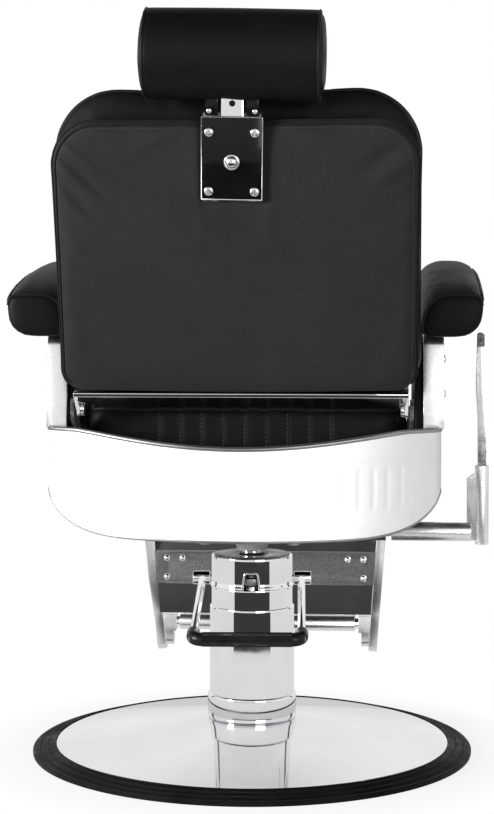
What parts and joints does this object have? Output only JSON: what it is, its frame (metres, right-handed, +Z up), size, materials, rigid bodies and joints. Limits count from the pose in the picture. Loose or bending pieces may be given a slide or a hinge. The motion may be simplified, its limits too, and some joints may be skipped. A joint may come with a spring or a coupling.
{
  "type": "hydraulic barber chair",
  "caption": "Padded swivel chair with reclining back, linked legrest, sliding headrest roll and release lever on a foot-pumped hydraulic column with a round domed base.",
  "frame": {"origin": "centre of the base's lower face, on the floor, under the column's axis", "axes": "+Z up along the column, -Y the way the sitter faces, +X to the sitter's left"},
  "size_m": [0.69, 0.914, 1.0603],
  "materials": {
    "rubber": "satin moulded rubber",
    "chrome": "bright chrome plate",
    "enamel": "black powder coat",
    "pump_steel": "machined, oiled",
    "zinc": "bright zinc plate",
    "vinyl": "padded black upholstery vinyl, satin",
    "board": "plain plywood",
    "gloss_black": "polished black",
    "polished": "polished",
    "channel": "grey hammered coat"
  },
  "bodies": {
    "base": {"base_ring": "rubber", "base_dome": "chrome", "floor_plate": "enamel", "pump_flange": "enamel", "flange_bolts": "zinc", "column_collar": "chrome", "column_tube": "chrome", "column_cap": "chrome", "rod_seal": "rubber", "pump_cylinder": "pump_steel", "plunger_spring": "zinc"},
    "plunger": {"pump_plunger": "pump_steel"},
    "pedal": {"pedal_shafts": "zinc", "pedal_frame": "chrome", "pedal_grip": "rubber", "pump_yoke": "pump_steel"},
    "lift": {"piston_head": "pump_steel", "piston_rod": "chrome"},
    "seat": {"seat_hub": "enamel", "hub_bolts": "zinc", "frame_floor": "enamel", "frame_side_left": "enamel", "frame_side_right": "enamel", "cross_channels": "enamel", "seat_pan": "chrome", "seat_board": "board", "seat_cushion": "vinyl", "arm_frame_left": "polished", "arm_frame_right": "polished", "side_panel_left": "vinyl", "side_panel_right": "vinyl", "arm_boards": "board", "armrest_left": "vinyl", "armrest_right": "vinyl", "hinge_brackets": "enamel", "hinge_pins": "zinc", "lever_bearing": "enamel", "leg_pins": "zinc"},
    "back": {"hinge_bar": "chrome", "bar_bolts": "zinc", "back_board": "board", "back_cushion": "vinyl", "back_panel": "vinyl", "guide_bracket": "enamel", "lock_plate": "gloss_black", "lock_screws": "zinc", "button_bezel": "chrome"},
    "headrest": {"slide_bar": "zinc", "headrest_bracket": "enamel", "headrest_roll": "vinyl"},
    "button": {"release_button": "chrome"},
    "lever": {"lever_shaft": "chrome", "lever_socket": "chrome", "lever_bar": "polished"},
    "legrest": {"leg_arms": "polished", "leg_channel": "channel", "calf_pad": "vinyl", "foot_tube": "chrome"},
    "footplate": {"footplate": "polished"}
  },
  "joints": [
    {"name": "seat_lift", "type": "slide", "parent": "base", "child": "lift", "axis": [0, 0, 1], "range_m": [0, 0.15]},
    {"name": "seat_swivel", "type": "hinge", "parent": "lift", "child": "seat", "pos_m": [0, 0, 0.31], "axis": [0, 0, 1], "continuous": true},
    {"name": "pump_pedal", "type": "hinge", "parent": "base", "child": "pedal", "pos_m": [0, 0, 0.256], "axis": [-0.999, -0.0454, 0], "range_deg": [0, 25], "stiffness_Nm_per_rad": 8, "springref_deg": -22.92},
    {"name": "plunger_stroke", "type": "slide", "parent": "base", "child": "plunger", "axis": [0, 0, -1], "range_m": [0, 0.021], "deforming": ["plunger_spring"]},
    {"name": "backrest_recline", "type": "hinge", "parent": "seat", "child": "back", "pos_m": [0, 0.205, 0.522], "axis": [-1, 0, 0], "range_deg": [0, 45]},
    {"name": "headrest_slide", "type": "slide", "parent": "back", "child": "headrest", "axis": [0, 0.2079, 0.9781], "range_m": [0, 0.08]},
    {"name": "release_press", "type": "slide", "parent": "back", "child": "button", "axis": [0, -0.9781, 0.2079], "range_m": [0, 0.003], "stiffness_N_per_m": 300, "springref_m": -0.003},
    {"name": "recline_release", "type": "hinge", "parent": "seat", "child": "lever", "pos_m": [-0.208, 0, 0.328], "axis": [-1, 0, 0], "range_deg": [0, 12], "stiffness_Nm_per_rad": 6, "springref_deg": -11.46},
    {"name": "legrest_swing", "type": "hinge", "parent": "seat", "child": "legrest", "pos_m": [0, -0.286, 0.352], "axis": [-1, 0, 0], "range_deg": [0, 52]},
    {"name": "footplate_fold", "type": "hinge", "parent": "legrest", "child": "footplate", "pos_m": [0, -0.372, 0.122], "axis": [-1, 0, 0], "range_deg": [0, 85]}
  ],
  "couplings": [
    {"joint": "plunger_stroke", "follows": "pump_pedal", "m_per_rad": 0.047},
    {"joint": "legrest_swing", "follows": "backrest_recline", "ratio": 1.15}
  ]
}
